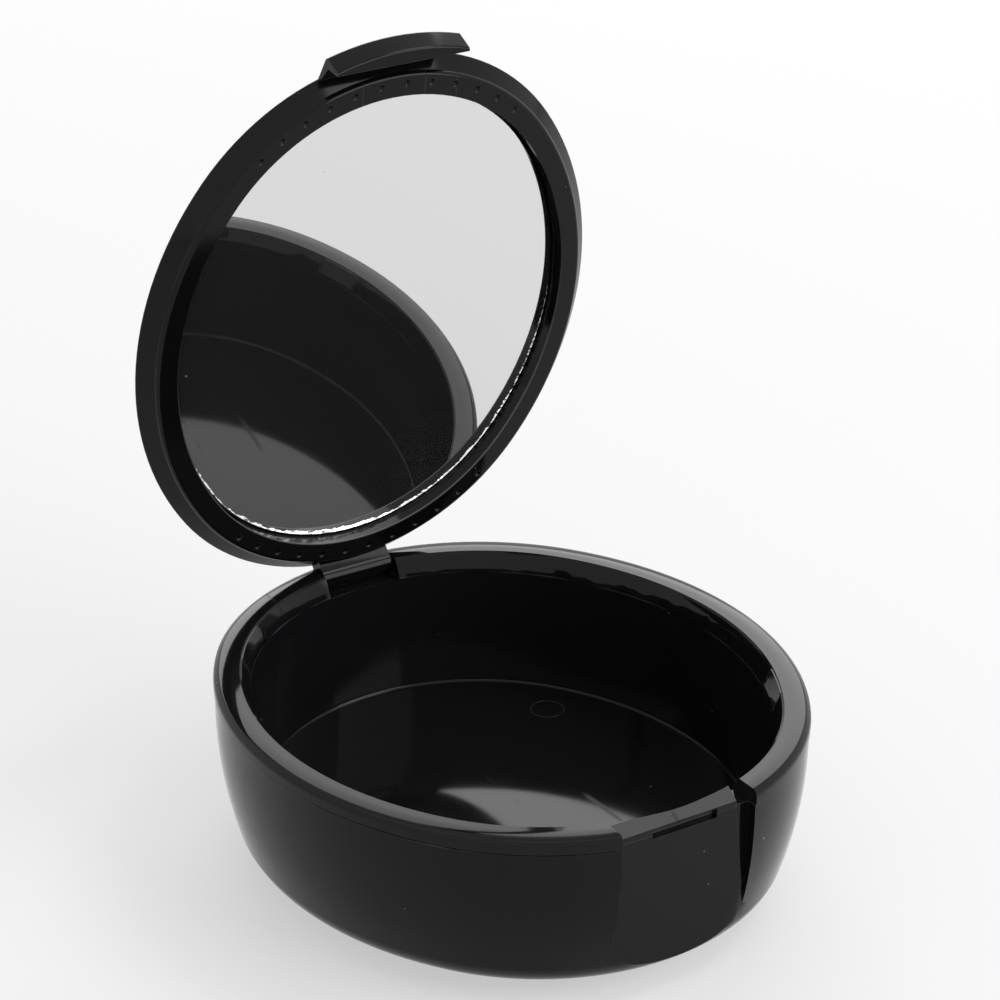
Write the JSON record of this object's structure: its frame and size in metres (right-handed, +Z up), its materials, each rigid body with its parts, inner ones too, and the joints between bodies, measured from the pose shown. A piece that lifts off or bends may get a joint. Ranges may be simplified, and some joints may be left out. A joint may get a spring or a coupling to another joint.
{
  "type": "denture_case",
  "caption": "Oval denture case: a double-walled bowl, a hinged lid with a mirror set inside it, and a thumb recess with a catch slot and relief slit at the front.",
  "frame": {"origin": "the middle of the flat underside of the base", "axes": "+Z is up out of the open base, +Y is towards the hinge, -Y towards the thumb recess, and X runs along the hinge"},
  "size_m": [0.0756, 0.084, 0.1062],
  "materials": {
    "shell_plastic": "glossy black moulded plastic",
    "tray_plastic": "glossy black moulded plastic with a satin land",
    "mirror": "silvered glass with a ground edge",
    "tape": "white foam adhesive pad",
    "pin_steel": "plain drawn steel wire"
  },
  "bodies": {
    "base": {"outer_bowl": "shell_plastic", "inner_tray": "tray_plastic", "hinge_pin": "pin_steel"},
    "lid": {"lid_shell": "shell_plastic", "mirror_glass": "mirror", "mirror_tape": "tape"}
  },
  "joints": [
    {"name": "lid_hinge", "type": "hinge", "parent": "base", "child": "lid", "pos_m": [0, 0.0396, 0.02505], "axis": [1, 0, 0], "range_deg": [0, 82]}
  ]
}
